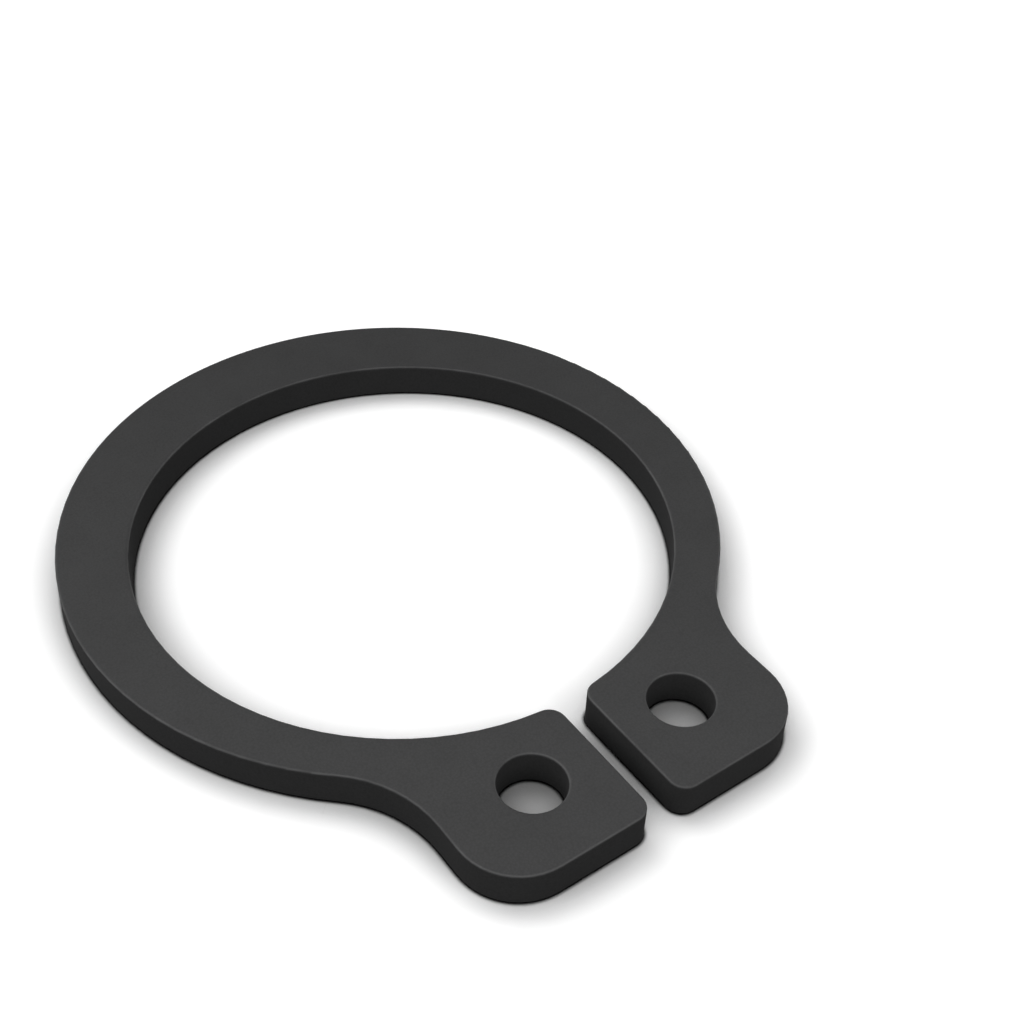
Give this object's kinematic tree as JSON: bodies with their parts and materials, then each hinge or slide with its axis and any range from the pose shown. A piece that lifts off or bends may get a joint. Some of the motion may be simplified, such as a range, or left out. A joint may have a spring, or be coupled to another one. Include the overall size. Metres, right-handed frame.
{
  "type": "external retaining ring",
  "caption": "Flat external retaining ring for a grooved shaft: a tapered open band with two pierced lugs for pliers, stamped in one piece.",
  "frame": {"origin": "centre of the free bore, on the underside that the ring rests on", "axes": "+Z along the bore axis, up from the underside; the gap and the lugs are on -Y and the widest stretch of the band on +Y; X runs across the gap"},
  "size_m": [0.018, 0.0207, 0.001],
  "materials": {
    "phosphated_steel": "satin"
  },
  "bodies": {
    "root": {"retaining_ring": "phosphated_steel"}
  },
  "joints": []
}
